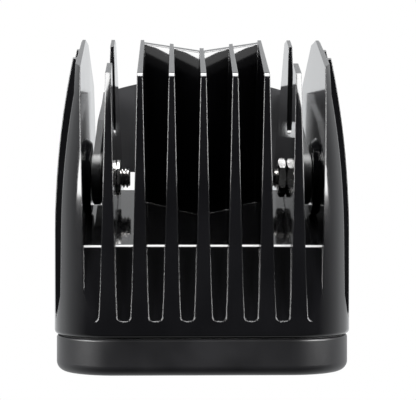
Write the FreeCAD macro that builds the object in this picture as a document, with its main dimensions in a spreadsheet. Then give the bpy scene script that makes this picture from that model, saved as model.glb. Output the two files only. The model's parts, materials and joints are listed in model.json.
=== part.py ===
import FreeCAD, Part
import os
from math import sqrt
import Sketcher
from FreeCAD import Placement, Rotation, Vector

# LED work lamp: a finned die-cast housing standing on its front bezel, with a tilting yoke bracket.
# Every piece is drawn about the lamp axis (+Z points to the rear of the lamp, -Y is its top side) and
# then moved by lamp_axis_y, so that the origin is under the middle of the whole lamp and bracket.

DIMENSIONS = {
    # whole lamp
    "half_width": 42.4,
    "corner_radius": 18.0,
    "lamp_axis_y": -3.0,
    "seam_height": 10.6,
    "seam_edge_round": 1.2,
    "side_curve_start": 40.0,
    "side_curve_radius": 240.0,
    # rear outline of the fins, as seen from the side
    "fin_tip_height": 83.5,
    "apex_height": 97.0,
    "apex_near_depth": 36.0,
    "apex_far_depth": 50.0,
    # fins and the grooves between them
    "fin_pitch": 8.8,
    "groove_count": 8,
    "groove_end_height": 15.2,
    "groove_end_half": 1.95,
    "groove_flare_height": 24.0,
    "groove_flare_half": 2.35,
    "groove_top_height": 101.0,
    "groove_top_half": 3.97,
    "groove_end_depth": 0.9,
    "groove_end_round": 1.6,
    "fin_nose_round": 3.0,
    "outer_fin_face": 36.6,
    "outer_fin_knee": 66.0,
    "outer_fin_top_face": 35.6,
    # can behind the grooves
    "can_shoulder_depth": 4.5,
    "can_shoulder_height": 36.0,
    "can_ridge_height": 52.0,
    "can_outer_ridge_height": 47.4,
    "can_round": 2.0,
    # web across the five middle fins, and the recess under it
    "web_near_depth": 24.2,
    "web_slope": 0.5625,
    "web_thickness": 2.6,
    "web_drop": 0.55,
    "web_near_round": 0.6,
    "web_far_round": 0.5,
    "recess_half": 16.1,
    "inner_fin_top_depth": 44.3,
    "inner_fin_far_height": 53.4,
    # slot in the second fin from each side
    "slot_near_depth": 11.0,
    "slot_far_depth": 28.5,
    "slot_floor_height": 68.0,
    "slot_floor_round": 3.0,
    # front cavity and driver pocket
    "cavity_half": 33.4,
    "cavity_floor": 19.5,
    "spigot_half": 35.6,
    "spigot_height": 6.6,
    "pocket_radius": 18.0,
    "pocket_ledge": 30.0,
    "pocket_inner_radius": 16.4,
    "pocket_ceiling": 40.0,
    # bezel, lens and seals
    "bezel_half": 41.8,
    "bezel_corner_centre": 24.4,
    "bezel_height": 10.3,
    "bezel_front_round": 2.8,
    "seam_round": 0.7,
    "bezel_lip": 2.6,
    "bezel_pocket_half": 36.0,
    "window_half": 33.5,
    "lens_corner_centre": 18.0,
    "lens_half": 35.6,
    "lens_step_half": 33.2,
    "lens_face": 1.2,
    "lens_thickness": 3.0,
    "lens_edge_round": 0.4,
    "gasket_thickness": 1.0,
    "seal_outer_half": 40.9,
    "seal_inner_half": 36.2,
    "seal_screw_hole": 1.8,
    # bezel screws
    "bezel_screw_offset": 32.6,
    "bezel_screw_radius": 1.45,
    "bezel_screw_hole": 1.55,
    "bezel_screw_head_radius": 2.6,
    "bezel_screw_head_depth": 1.15,
    "bezel_screw_sink": 0.15,
    "bezel_countersink": 1.2,
    "bezel_socket_flats": 2.0,
    "bezel_socket_depth": 1.1,
    "bezel_screw_end": 15.5,
    "bezel_hole_end": 16.5,
    # light engine
    "board_half": 32.6,
    "board_thickness": 1.6,
    "pad_thickness": 0.5,
    "pad_half": 31.5,
    "pad_opening": 18.5,
    "emitter_offset": 16.3,
    "emitter_half": 2.5,
    "emitter_height": 0.9,
    "dome_radius": 2.1,
    "reflector_half": 32.9,
    "reflector_front": 6.2,
    "reflector_back": 17.1,
    "cup_front_radius": 15.6,
    "cup_back_radius": 4.2,
    "board_screw_offset": 28.3,
    "board_screw_radius": 1.4,
    "board_screw_hole": 1.5,
    "board_screw_head_radius": 2.7,
    "board_screw_head_height": 1.7,
    "board_screw_end": 26.0,
    "screw_relief_radius": 3.2,
    "screw_relief_depth": 2.0,
    # driver
    "driver_board_radius": 17.5,
    "driver_board_thickness": 1.6,
    "inductor_radius": 5.5,
    "inductor_height": 6.0,
    "inductor_flange": 0.9,
    "inductor_x": 6.5,
    "inductor_y": -6.5,
    "capacitor_radius": 3.0,
    "capacitor_height": 8.0,
    "capacitor_x": -8.0,
    "capacitor_y": -4.5,
    "capacitor_gap": 3.4,
    "mosfet_length": 6.5,
    "mosfet_width": 5.4,
    "mosfet_height": 2.3,
    "mosfet_x": 5.5,
    "mosfet_y": 5.0,
    "pin_radius": 0.5,
    "pin_x": 2.54,
    "pin_y": -13.0,
    # tilt pivot
    "pivot_depth": 30.0,
    "pivot_height": 55.4,
    "pivot_radius": 3.0,
    "pivot_bore": 3.25,
    "boss_root_radius": 13.0,
    "boss_face_radius": 10.4,
    "boss_face_offset": 1.6,
    "pivot_thread_end": 21.1,
    "bolt_head_radius": 5.4,
    "bolt_head_height": 3.3,
    "bolt_rim": 1.3,
    "bolt_crown_radius": 3.6,
    "bolt_socket_flats": 4.0,
    "bolt_socket_depth": 2.0,
    "bolt_pocket_radius": 7.6,
    "nut_flats": 10.0,
    "nut_face": 22.6,
    "fin_inner_face": 25.0,
    "spot_face_radius": 6.3,
    "insert_hole": 4.25,
    "insert_radius": 4.2,
    "insert_flange_radius": 5.3,
    "insert_flange_face": 23.9,
    # yoke bracket
    "leg_centre": 30.8,
    "bracket_thickness": 2.0,
    "bracket_bend_radius": 3.0,
    "strap_near_depth": 88.8,
    "strap_front_height": 59.0,
    "strap_crest_height": 90.2,
    "strap_crest_radius": 100.0,
    "leg_eye_radius": 8.0,
    "leg_neck_height": 47.6,
    "leg_mid_depth": 50.6,
    "leg_mid_height": 73.7,
    "leg_shoulder_depth": 75.7,
    "leg_shoulder_height": 80.7,
    "bush_radius": 4.4,
    "bush_hole": 4.45,
    "bush_bore": 3.05,
    "washer_radius": 7.5,
    "washer_thickness": 0.4,
    "washer_bore": 3.15,
    "mount_hole_height": 73.0,
    "mount_hole_radius": 4.2,
    "side_hole_radius": 2.75,
    "side_hole_spacing": 36.0,
    # cable gland and vent
    "gland_y": 10.0,
    "gland_seat_height": 52.0,
    "gland_boss_radius": 9.0,
    "gland_thread_radius": 6.0,
    "gland_flats": 16.0,
    "gland_ring_section": 0.6,
    "gland_ring_radius": 6.9,
    "gland_flange_height": 4.0,
    "gland_stem_length": 11.0,
    "gland_barrel_radius": 6.2,
    "gland_barrel_height": 8.5,
    "gland_bore": 5.0,
    "gland_seal_start": 59.0,
    "gland_seal_end": 69.0,
    "gland_mouth": 3.6,
    "cap_gap": 0.4,
    "cap_skirt_height": 7.0,
    "cap_collar_radius": 7.8,
    "cap_collar_height": 2.5,
    "cap_nose_radius": 5.6,
    "cap_nose_height": 4.0,
    "cable_hole": 3.0,
    "vent_x": -12.4,
    "vent_y": 6.5,
    "vent_seat_height": 51.0,
    "vent_radius": 3.2,
    "vent_stem_radius": 2.0,
    "vent_stem_length": 7.0,
    "vent_height": 1.8,
    "vent_crown": 0.6,
}

doc = FreeCAD.newDocument("LedWorkLamp")
sheet = doc.addObject("Spreadsheet::Sheet", "dims")
for row, (alias, value) in enumerate(DIMENSIONS.items(), start=1):
    sheet.set(f"A{row}", alias)
    sheet.set(f"B{row}", str(value))
    sheet.setAlias(f"B{row}", alias)
doc.recompute()

nodes = []


def size(alias):
    """A driving dimension, read from the sheet."""
    return float(getattr(sheet, alias))


def depth(alias):
    """The Y of a depth counted from the lamp's top side."""
    return size(alias) - size("half_width")


def keep(node, label):
    """Name a finished sub-part and move it from the lamp axis to the origin's frame."""
    node.Label = label
    node.setExpression("Placement.Base.y", "dims.lamp_axis_y")
    nodes.append(node)
    return node


def bind(thing, formulas):
    for name, formula in formulas.items():
        thing.setExpression(name, formula)
    return thing


# ---- shapes made straight from Part's functions -------------------------------------------------

def prism(points, direction):
    return Part.Face(Part.makePolygon(points + points[:1])).extrude(direction)


def side_prism(outline, x_low, x_high):
    """A prism along X from its outline in Y and Z."""
    return prism([Vector(x_low, y, z) for y, z in outline], Vector(x_high - x_low, 0, 0))


def rounded_block(half, radius, z_low, z_high):
    block = Part.makeBox(2 * half, 2 * half, z_high - z_low, Vector(-half, -half, z_low))
    return block.makeFillet(radius, [e for e in block.Edges if e.BoundBox.ZLength > 1e-3])


def rod(radius, start, end):
    run = end - start
    return Part.makeCylinder(radius, run.Length, start, run)


def long_edges(shape, axis, length=1.0):
    """Edges that run along one axis only."""
    spans = {"x": "XLength", "y": "YLength", "z": "ZLength"}
    others = [spans[a] for a in spans if a != axis]
    return [e for e in shape.Edges
            if getattr(e.BoundBox, spans[axis]) > length
            and all(getattr(e.BoundBox, other) < 1e-3 for other in others)]


def outer_skin():
    """Rounded square body whose left and right sides curve in towards the rear."""
    half, start, radius = size("half_width"), size("side_curve_start"), size("side_curve_radius")
    low, high = size("seam_height"), size("groove_top_height")

    def half_at(z):
        return half - (radius - sqrt(radius ** 2 - (z - start) ** 2))

    def corner(sign, z):
        return Vector(sign * half_at(max(z, start)), -half, z)

    middle = (start + high) / 2
    outline = [Part.makeLine(corner(-1, low), corner(1, low)),
               Part.makeLine(corner(1, low), corner(1, start)),
               Part.Arc(corner(1, start), corner(1, middle), corner(1, high)).toShape(),
               Part.makeLine(corner(1, high), corner(-1, high)),
               Part.Arc(corner(-1, high), corner(-1, middle), corner(-1, start)).toShape(),
               Part.makeLine(corner(-1, start), corner(-1, low))]
    skin = Part.Face(Part.Wire(outline)).extrude(Vector(0, 2 * half, 0))
    upright = [e for e in skin.Edges if e.BoundBox.ZLength > 1 and e.BoundBox.YLength < 1e-3]
    skin = skin.makeFillet(size("corner_radius"), upright)
    return skin.makeFillet(size("seam_edge_round"), [e for e in skin.Edges if e.BoundBox.ZMax < low + 1e-3])


def rear_outline(margin=5.0):
    """Side view of the outermost fins: a roof that rises to a flat apex."""
    half, tip, apex = size("half_width"), size("fin_tip_height"), size("apex_height")
    near, far = depth("apex_near_depth"), depth("apex_far_depth")
    near_rise = (apex - tip) / (near + half)
    far_rise = (apex - tip) / (half - far)
    return [(-half - margin, 0), (-half - margin, tip - margin * near_rise), (near, apex), (far, apex),
            (half + margin, tip - margin * far_rise), (half + margin, 0)]


def can_section(x_low, x_high, ridge):
    """What stays under a groove: sloped walls, rounded shoulders and a back that rises to a ridge."""
    half, shoulder_z = size("half_width"), size("can_shoulder_height")
    foot = half - size("groove_end_depth")
    shoulder = half - size("can_shoulder_depth")
    outline = [(-foot, 0), (-foot, size("groove_end_height")), (-shoulder, shoulder_z), (0, ridge),
               (shoulder, shoulder_z), (foot, size("groove_end_height")), (foot, 0)]
    section = side_prism(outline, x_low, x_high)
    rounds = [e for e in long_edges(section, "x") if e.BoundBox.ZMin > shoulder_z - 1]
    return section.makeFillet(size("can_round"), rounds)


def groove_blank(centre):
    """The tapered space between two fins, running right through along Y."""
    reach = size("half_width") + 20
    steps = [(size("groove_end_height"), size("groove_end_half")),
             (size("groove_flare_height"), size("groove_flare_half")),
             (size("groove_top_height"), size("groove_top_half"))]
    outline = [Vector(centre - half, -reach, z) for z, half in steps]
    outline += [Vector(centre + half, -reach, z) for z, half in reversed(steps)]
    blank = prism(outline, Vector(0, 2 * reach, 0))
    ends = [e for e in long_edges(blank, "y") if e.BoundBox.ZMax < size("groove_end_height") + 1]
    return blank.makeFillet(size("groove_end_round"), ends)


def near_roof():
    """Slope of the rear outline on the top side: its height at the lamp's top side, and its rise."""
    half, tip = size("half_width"), size("fin_tip_height")
    return tip, (size("apex_height") - tip) / (depth("apex_near_depth") + half)


def web():
    """Chevron wall across the middle fins, nearest to the top side at the lamp axis.

    Its top runs a little below the fins' and is rounded along both faces.
    """
    x, slope, half = size("recess_half") + 3, size("web_slope"), size("half_width")
    near, thick = depth("web_near_depth"), size("web_thickness")
    bottom, top = size("can_shoulder_height"), size("groove_top_height")
    outline = [(-x, near + slope * x), (0, near), (x, near + slope * x),
               (x, near + slope * x + thick), (0, near + thick), (-x, near + slope * x + thick)]
    wall = prism([Vector(px, py, bottom) for px, py in outline], Vector(0, 0, top - bottom))
    tip, rise = near_roof()
    low = tip - size("web_drop")
    wall = wall.common(side_prism([(-half, 0), (-half, low), (0, low + rise * half), (0, 0)], -2 * x, 2 * x))
    for offset, radius in ((0, "web_near_round"), (thick, "web_far_round")):
        crest = [e for e in wall.Edges if e.BoundBox.ZMin > low and e.BoundBox.XLength > x / 2
                 and abs(e.CenterOfMass.y - near - offset - slope * x / 2) < 0.4]
        wall = wall.makeFillet(size(radius), crest)
    return wall


def fin_grooves():
    """One tool for each space between two fins."""
    count, pitch = int(size("groove_count")), size("fin_pitch")
    tools = []
    for index in range(count):
        centre = (index - (count - 1) / 2) * pitch
        outermost = index in (0, count - 1)
        ridge = size("can_outer_ridge_height" if outermost else "can_ridge_height")
        tool = groove_blank(centre).cut(can_section(centre - pitch, centre + pitch, ridge))
        tools.append(tool.cut(web()) if 1 < index < count - 2 else tool)
    return tools


def side_grooves():
    """The same grooves turned to the left and right sides, stopping at the outermost fins."""
    count, pitch = int(size("groove_count")), size("fin_pitch")
    half, face, top = size("half_width"), size("outer_fin_face"), size("groove_top_height")
    foot = half - size("groove_end_depth")
    low, level, knee = size("groove_end_height"), size("side_curve_start"), size("outer_fin_knee")
    inner = size("outer_fin_top_face")
    flank = [(foot, 0), (foot, low), (face, level), (face, knee), (inner, top + 1)]
    outline = flank + [(-y, z) for y, z in reversed(flank)]
    tools = []
    for index in range(count):
        centre = (index - (count - 1) / 2) * pitch
        blank = groove_blank(centre)
        tool = blank.cut(side_prism(outline, centre - pitch, centre + pitch))
        tool.rotate(Vector(0, 0, 0), Vector(0, 0, 1), 90)
        tools.append(tool)
    return tools


def far_slope():
    """What is cut off the inner fins on the underside, so that the bracket can swing past them."""
    half, top = size("half_width"), size("groove_top_height")
    near, low, apex = depth("inner_fin_top_depth"), size("inner_fin_far_height"), size("apex_height")
    rise = (apex - low) / (half - near)
    reach = (size("groove_count") - 1) / 2 * size("fin_pitch")
    outline = [(near - (top - apex) / rise, top), (half + 9, top), (half + 9, low - 9 * rise)]
    return side_prism(outline, -reach, reach)


def rear_recess():
    """The open space behind the web, where the cable leaves the lamp."""
    reach = (size("groove_count") / 2 - 2.5) * size("fin_pitch")
    near = depth("web_near_depth") + size("web_thickness")
    edge, far = near + size("web_slope") * reach, size("half_width") + 9
    bottom, top = size("can_shoulder_height"), size("groove_top_height")
    outline = [(0, near), (reach, edge), (reach, far), (-reach, far), (-reach, edge)]
    block = prism([Vector(x, y, bottom) for x, y in outline], Vector(0, 0, top - bottom))
    return block.cut(can_section(-reach - 1, reach + 1, size("can_ridge_height")))


def fin_slots():
    """A round-bottomed slot in the second fin from each side."""
    centre, pitch = (size("groove_count") / 2 - 1) * size("fin_pitch"), size("fin_pitch")
    near, far = depth("slot_near_depth"), depth("slot_far_depth")
    low, top = size("slot_floor_height"), size("groove_top_height")
    slots = []
    for x in (-centre, centre):
        slot = side_prism([(near, low), (far, low), (far, top), (near, top)], x - pitch / 2, x + pitch / 2)
        floor = [e for e in long_edges(slot, "x") if e.BoundBox.ZMax < low + 1]
        slots.append(slot.makeFillet(size("slot_floor_round"), floor))
    return slots


def rewritten(shape):
    """The same shape with its tolerances brought up to date."""
    copy = Part.Shape()
    copy.importBrepFromString(shape.exportBrepToString())
    return copy


def round_noses(body):
    """Round the tips of the middle fins on the top side, from the top side over to the roof."""
    half, tip = size("half_width"), size("fin_tip_height")
    tips = [e for e in body.Edges if e.BoundBox.ZMin > tip - 1 and e.BoundBox.ZMax < tip + 1
            and e.BoundBox.YMax < 1 - half and e.BoundBox.XLength > 0.3]
    return body.makeFillet(size("fin_nose_round"), tips)


def pivot_point(x):
    return Vector(x, depth("pivot_depth"), size("pivot_height"))


def pivot_bosses():
    """Tapered bosses on both faces of each bracket gap."""
    gap = (size("groove_count") - 1) / 2 * size("fin_pitch")
    bosses = []
    for sign in (-1, 1):
        for way in (-1, 1):
            face = sign * gap + way * size("boss_face_offset")
            root = sign * gap + way * size("fin_pitch") / 2
            boss = Part.makeCone(size("boss_face_radius"), size("boss_root_radius"), abs(root - face),
                                 pivot_point(face), Vector(way, 0, 0))
            fin = Part.makeBox(1.6, 60, 60, Vector(face if way > 0 else face - 1.6, -30, 30))
            bosses.append(boss.common(fin))
    return bosses


def pivot_seats():
    """Head pockets, spot faces and bores of the two pivot bolts, and the wider bore of the insert."""
    gap = (size("groove_count") - 1) / 2 * size("fin_pitch")
    tools = [rod(size("insert_hole"), pivot_point(-20), pivot_point(-(gap - size("boss_face_offset"))))]
    for sign in (-1, 1):
        outer = sign * size("half_width")
        tools.append(rod(size("bolt_pocket_radius"), pivot_point(sign * size("outer_fin_face")),
                         pivot_point(outer + sign * 5)))
        tools.append(rod(size("spot_face_radius"), pivot_point(sign * 20),
                         pivot_point(sign * size("fin_inner_face"))))
        tools.append(rod(size("pivot_bore"), pivot_point(sign * 20), pivot_point(outer)))
    return tools


def front_hollows():
    """The light engine's cavity, the stepped driver pocket behind it, and the screw holes."""
    low, floor, ledge = size("seam_height"), size("cavity_floor"), size("pocket_ledge")
    cavity_half = size("cavity_half")
    cavity_straight = cavity_half - size("lens_corner_centre")
    tools = [rounded_block(cavity_half, cavity_straight, size("spigot_height") - 1, floor),
             rod(size("pocket_radius"), Vector(0, 0, floor - 1), Vector(0, 0, ledge)),
             rod(size("pocket_inner_radius"), Vector(0, 0, ledge - 1), Vector(0, 0, size("pocket_ceiling")))]
    for x, y in corners(size("bezel_screw_offset")):
        hole_end = Vector(x, y, size("bezel_hole_end"))
        tools.append(rod(size("bezel_screw_hole"), Vector(x, y, low - 1), hole_end))
    for x, y in cross(size("board_screw_offset")):
        tools.append(rod(size("board_screw_hole"), Vector(x, y, floor - 1),
                         Vector(x, y, size("board_screw_end") + 1)))
    return tools


def spigot():
    """Raised ring round the cavity that presses on the lens gasket."""
    half = size("spigot_half")
    straight = half - size("lens_corner_centre")
    return rounded_block(half, straight, size("spigot_height"), size("seam_height") + 2)


def rear_bosses():
    """Round bosses that give the cable gland and the pressure vent a flat seat."""
    root = size("pocket_ceiling") + 1
    gland, vent = (0, size("gland_y")), (size("vent_x"), size("vent_y"))
    return [rod(size("gland_boss_radius"), Vector(*gland, root), Vector(*gland, size("gland_seat_height"))),
            rod(size("vent_radius") + 0.3, Vector(*vent, root), Vector(*vent, size("vent_seat_height")))]


def rear_bores():
    """Holes of the gland and the vent, drilled through to the driver pocket."""
    through = size("pocket_ceiling") - 2
    gland, vent = (0, size("gland_y")), (size("vent_x"), size("vent_y"))
    return [rod(size("gland_thread_radius"), Vector(*gland, through),
                Vector(*gland, size("gland_seat_height") + 20)),
            rod(size("vent_stem_radius"), Vector(*vent, through), Vector(*vent, size("vent_seat_height") + 20))]


def corners(offset):
    return [(sx * offset, sy * offset) for sx in (-1, 1) for sy in (-1, 1)]


def cross(offset):
    return [(offset, 0), (0, offset), (-offset, 0), (0, -offset)]


def housing_shape():
    half = size("half_width")
    body = outer_skin().common(side_prism(rear_outline(), -half - 9, half + 9))
    for tool in fin_grooves() + side_grooves() + [far_slope(), rear_recess()] + fin_slots():
        body = body.cut(tool)
    body = round_noses(rewritten(body))
    body = body.fuse([spigot()] + pivot_bosses() + rear_bosses())
    return body.cut(front_hollows() + pivot_seats() + rear_bores()).removeSplitter()


# ---- document objects bound to the sheet ---------------------------------------------------------

def primitive(kind, name, formulas, turn=None):
    thing = doc.addObject(kind, name)
    if turn:
        thing.Placement = Placement(Vector(), Rotation(*turn))
    return bind(thing, formulas)


def at(x="0", y="0", z="0"):
    return {"Placement.Base.x": x, "Placement.Base.y": y, "Placement.Base.z": z}


ALONG_X = (Vector(0, 1, 0), 90)
ALONG_Y = (Vector(1, 0, 0), -90)


def cylinder(name, radius, height, place, turn=None):
    return primitive("Part::Cylinder", name, {"Radius": radius, "Height": height, **place}, turn)


def cone(name, radius1, radius2, height, place):
    return primitive("Part::Cone", name, {"Radius1": radius1, "Radius2": radius2, "Height": height, **place})


def box(name, length, width, height, place):
    return primitive("Part::Box", name, {"Length": length, "Width": width, "Height": height, **place})


def cut(name, base, tool):
    thing = doc.addObject("Part::Cut", name)
    thing.Base, thing.Tool = base, tool
    return thing


def fuse(name, shapes):
    thing = doc.addObject("Part::MultiFuse", name)
    thing.Shapes = shapes
    return thing


def group(name, links):
    """Separate solids that share one node."""
    thing = doc.addObject("Part::Compound", name)
    thing.Links = links
    return thing


def new_sketch(body, name, plane="XY_Plane", offset=None):
    sketch = body.newObject("Sketcher::SketchObject", name)
    face = next(item for item in body.Origin.OriginFeatures if item.Role == plane)
    sketch.AttachmentSupport = [(face, "")]
    sketch.MapMode = "FlatFace"
    if offset:
        sketch.setExpression("AttachmentOffset.Base.z", offset)
    return sketch


def draw_rounded_square(sketch, half, radius):
    """Rounded square about the origin; half and radius are formulas."""
    h, r = 30.0, 8.0
    c, z = h - r, Vector(0, 0, 1)
    first = sketch.GeometryCount
    ends = [(-c, -h, c, -h), (h, -c, h, c), (c, h, -c, h), (-h, c, -h, -c)]
    centres = [(c, -c), (c, c), (-c, c), (-c, -c)]
    quarter = 1.5707963267948966
    for side, (line, centre) in enumerate(zip(ends, centres)):
        sketch.addGeometry(Part.LineSegment(Vector(*line[:2], 0), Vector(*line[2:], 0)), False)
        circle = Part.Circle(Vector(*centre, 0), z, r)
        start = (side - 1) * quarter
        sketch.addGeometry(Part.ArcOfCircle(circle, start, start + quarter), False)
    rules = []
    for side in range(4):
        line, arc, following = first + 2 * side, first + 2 * side + 1, first + (2 * side + 2) % 8
        rules.append(Sketcher.Constraint("Tangent", line, 2, arc, 1))
        rules.append(Sketcher.Constraint("Tangent", arc, 2, following, 1))
        rules.append(Sketcher.Constraint("Horizontal" if side % 2 == 0 else "Vertical", line))
    for arc in (first + 3, first + 5, first + 7):
        rules.append(Sketcher.Constraint("Equal", first + 1, arc))
    rules.append(Sketcher.Constraint("Symmetric", first + 1, 3, first + 5, 3, -1, 1))
    sketch.addConstraint(rules)
    for kind, args, formula in (("DistanceX", (-1, 1, first + 2, 1, h), half),
                                ("DistanceY", (-1, 1, first + 4, 1, h), half),
                                ("Radius", (first + 1, r), radius)):
        index = sketch.addConstraint(Sketcher.Constraint(kind, *args))
        sketch.setExpression(f"Constraints[{index}]", formula)


def draw_circle(sketch, radius, x=0.0, y=0.0, x_formula=None, y_formula=None):
    """A circle, on the origin unless formulas place it; x and y only start it in the right quarter."""
    circle = sketch.addGeometry(Part.Circle(Vector(x, y, 0), Vector(0, 0, 1), 1.0), False)
    index = sketch.addConstraint(Sketcher.Constraint("Radius", circle, 1.0))
    sketch.setExpression(f"Constraints[{index}]", radius)
    for kind, start, formula in (("DistanceX", x, x_formula), ("DistanceY", y, y_formula)):
        index = sketch.addConstraint(Sketcher.Constraint(kind, -1, 1, circle, 3, start))
        if formula:
            sketch.setExpression(f"Constraints[{index}]", formula)


def pad(body, name, sketch, length):
    feature = body.newObject("PartDesign::Pad", name)
    feature.Profile = sketch
    return bind(feature, {"Length": length})


def pocket(body, name, sketch, length, upward=True):
    feature = body.newObject("PartDesign::Pocket", name)
    feature.Profile = sketch
    feature.Reversed = upward
    return bind(feature, {"Length": length})


def plate(label, half, radius, height, base=None, inner=None):
    """A rounded square plate, or a ring where inner gives its opening's half width and radius."""
    body = doc.addObject("PartDesign::Body", label)
    sketch = new_sketch(body, label + "_outline", offset=base)
    draw_rounded_square(sketch, half, radius)
    if inner:
        draw_rounded_square(sketch, *inner)
    pad(body, label + "_pad", sketch, height)
    return body


# ---- front: bezel, lens and seals -----------------------------------------------------------------

def outline_edges(shape, reach, low, high):
    """Numbers of the level edges that touch the outer outline between two heights."""
    found = []
    for number, edge in enumerate(shape.Edges, start=1):
        box = edge.BoundBox
        widest = max(abs(box.XMax), abs(box.XMin), abs(box.YMax), abs(box.YMin))
        if widest > reach and box.ZLength < 1e-3 and low < box.ZMin < high:
            found.append(f"Edge{number}")
    return found


def round_edges(body, name, edges, radius, kind="PartDesign::Fillet", prop="Radius"):
    base = body.Tip
    feature = body.newObject(kind, name)
    feature.Base = (base, edges)
    bind(feature, {prop: radius})
    doc.recompute()
    return feature


def screw_circles(sketch, radius):
    for sx, sy in corners(1):
        draw_circle(sketch, radius, 30.0 * sx, 30.0 * sy,
                    f"{sx} * dims.bezel_screw_offset", f"{sy} * dims.bezel_screw_offset")


def make_bezel():
    """Front ring with a lip that holds the lens, a seat behind it and four countersunk holes."""
    body = plate("front_bezel", "dims.bezel_half", "dims.bezel_half - dims.bezel_corner_centre",
                 "dims.bezel_height", inner=("dims.window_half", "dims.window_half - dims.lens_corner_centre"))
    seat = new_sketch(body, "lens_seat", offset="dims.bezel_lip")
    draw_rounded_square(seat, "dims.bezel_pocket_half", "dims.bezel_pocket_half - dims.lens_corner_centre")
    pocket(body, "lens_seat_pocket", seat, "dims.bezel_height")
    doc.recompute()
    reach, top = size("bezel_half") - 1e-3, size("bezel_height")
    round_edges(body, "front_round", outline_edges(body.Tip.Shape, reach, -1, 1), "dims.bezel_front_round")
    round_edges(body, "seam_round", outline_edges(body.Tip.Shape, reach, top - 1, top + 1), "dims.seam_round")
    screws = new_sketch(body, "screw_holes")
    screw_circles(screws, "dims.bezel_screw_hole")
    pocket(body, "screw_clearance", screws, "dims.bezel_height")
    doc.recompute()
    rims = [f"Edge{n}" for n, edge in enumerate(body.Tip.Shape.Edges, start=1)
            if abs(edge.BoundBox.ZMax) < 1e-3 and abs(edge.BoundBox.XLength - 2 * size("bezel_screw_hole")) < 0.01]
    round_edges(body, "countersinks", rims, "dims.bezel_countersink", "PartDesign::Chamfer", "Size")
    return body


def make_lens():
    """Clear plate whose raised front fills the bezel's window."""
    body = plate("front_lens", "dims.lens_half", "dims.lens_half - dims.lens_corner_centre",
                 "dims.lens_thickness", "dims.bezel_lip")
    step = new_sketch(body, "raised_front", offset="dims.lens_face")
    draw_rounded_square(step, "dims.lens_step_half", "dims.lens_step_half - dims.lens_corner_centre")
    pad(body, "raised_front_pad", step, "dims.bezel_lip - dims.lens_face")
    doc.recompute()
    reach = size("lens_step_half") - 1e-3
    face = outline_edges(body.Tip.Shape, reach, size("lens_face") - 0.1, size("lens_face") + 0.1)
    round_edges(body, "front_softening", face, "dims.lens_edge_round")
    return body


def make_gasket():
    return plate("lens_gasket", "dims.lens_half", "dims.lens_half - dims.lens_corner_centre",
                 "dims.gasket_thickness", "dims.bezel_lip + dims.lens_thickness",
                 ("dims.cavity_half", "dims.cavity_half - dims.lens_corner_centre"))


def make_housing_seal():
    """Flat seal in the seam between bezel and housing."""
    body = plate("housing_seal", "dims.seal_outer_half", "dims.seal_outer_half - dims.bezel_corner_centre",
                 "dims.seam_height - dims.bezel_height", "dims.bezel_height",
                 ("dims.seal_inner_half", "dims.seal_inner_half - dims.lens_corner_centre"))
    screws = new_sketch(body, "seal_screw_holes", offset="dims.bezel_height")
    screw_circles(screws, "dims.seal_screw_hole")
    pocket(body, "seal_screw_clearance", screws, "dims.seam_height - dims.bezel_height")
    return body


def hex_socket(name, flats, height, place, turn=None):
    prism_thing = primitive("Part::Prism", name, {"Circumradius": f"{flats} / sqrt(3)", "Height": height, **place},
                            turn)
    prism_thing.Polygon = 6
    return prism_thing


def make_bezel_screws():
    """Four countersunk screws, driven from the front."""
    screws = []
    for number, (sx, sy) in enumerate(corners(1), start=1):
        name = f"bezel_screw_{number}"
        x, y = f"{sx} * dims.bezel_screw_offset", f"{sy} * dims.bezel_screw_offset"
        head = cone(name + "_head", "dims.bezel_screw_head_radius", "dims.bezel_screw_radius",
                    "dims.bezel_screw_head_depth", at(x, y, "dims.bezel_screw_sink"))
        shank = cylinder(name + "_shank", "dims.bezel_screw_radius",
                         "dims.bezel_screw_end - dims.bezel_screw_sink", at(x, y, "dims.bezel_screw_sink"))
        socket = hex_socket(name + "_socket", "dims.bezel_socket_flats", "dims.bezel_socket_depth",
                            at(x, y, "dims.bezel_screw_sink"))
        screws.append(cut(name, fuse(name + "_blank", [head, shank]), socket))
    return group("bezel_screws", screws)


# ---- light engine -----------------------------------------------------------------------------------

BOARD_FRONT = "(dims.cavity_floor - dims.pad_thickness - dims.board_thickness)"


def cross_circles(sketch, radius):
    for x, y in cross(1):
        draw_circle(sketch, radius, 28.0 * x, 28.0 * y,
                    f"{x} * dims.board_screw_offset", f"{y} * dims.board_screw_offset")


def make_led_board():
    body = plate("led_board", "dims.board_half", "dims.board_half - dims.lens_corner_centre",
                 "dims.board_thickness", BOARD_FRONT)
    holes = new_sketch(body, "board_holes", offset=BOARD_FRONT)
    cross_circles(holes, "dims.board_screw_hole")
    pocket(body, "board_hole_pocket", holes, "dims.board_thickness")
    return body


def make_thermal_pad():
    base = "dims.cavity_floor - dims.pad_thickness"
    body = plate("thermal_pad", "dims.pad_half", "dims.pad_half - dims.lens_corner_centre",
                 "dims.pad_thickness", base)
    holes = new_sketch(body, "pad_holes", offset=base)
    draw_circle(holes, "dims.pad_opening")
    cross_circles(holes, "dims.board_screw_hole")
    pocket(body, "pad_hole_pocket", holes, "dims.pad_thickness")
    return body


def make_emitters():
    """Four square LED packages with domed lenses, one behind each reflector cup."""
    emitters = []
    for number, (sx, sy) in enumerate(corners(1), start=1):
        x, y = f"{sx} * dims.emitter_offset", f"{sy} * dims.emitter_offset"
        base = f"{BOARD_FRONT} - dims.emitter_height"
        package = box(f"emitter_{number}_package", "2 * dims.emitter_half", "2 * dims.emitter_half",
                      "dims.emitter_height", at(f"{x} - dims.emitter_half", f"{y} - dims.emitter_half", base))
        dome = primitive("Part::Sphere", f"emitter_{number}_dome", {"Radius": "dims.dome_radius", **at(x, y, base)})
        dome.Angle1, dome.Angle2 = -90, 0
        emitters.append(fuse(f"emitter_{number}", [package, dome]))
    return group("led_emitters", emitters)


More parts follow.
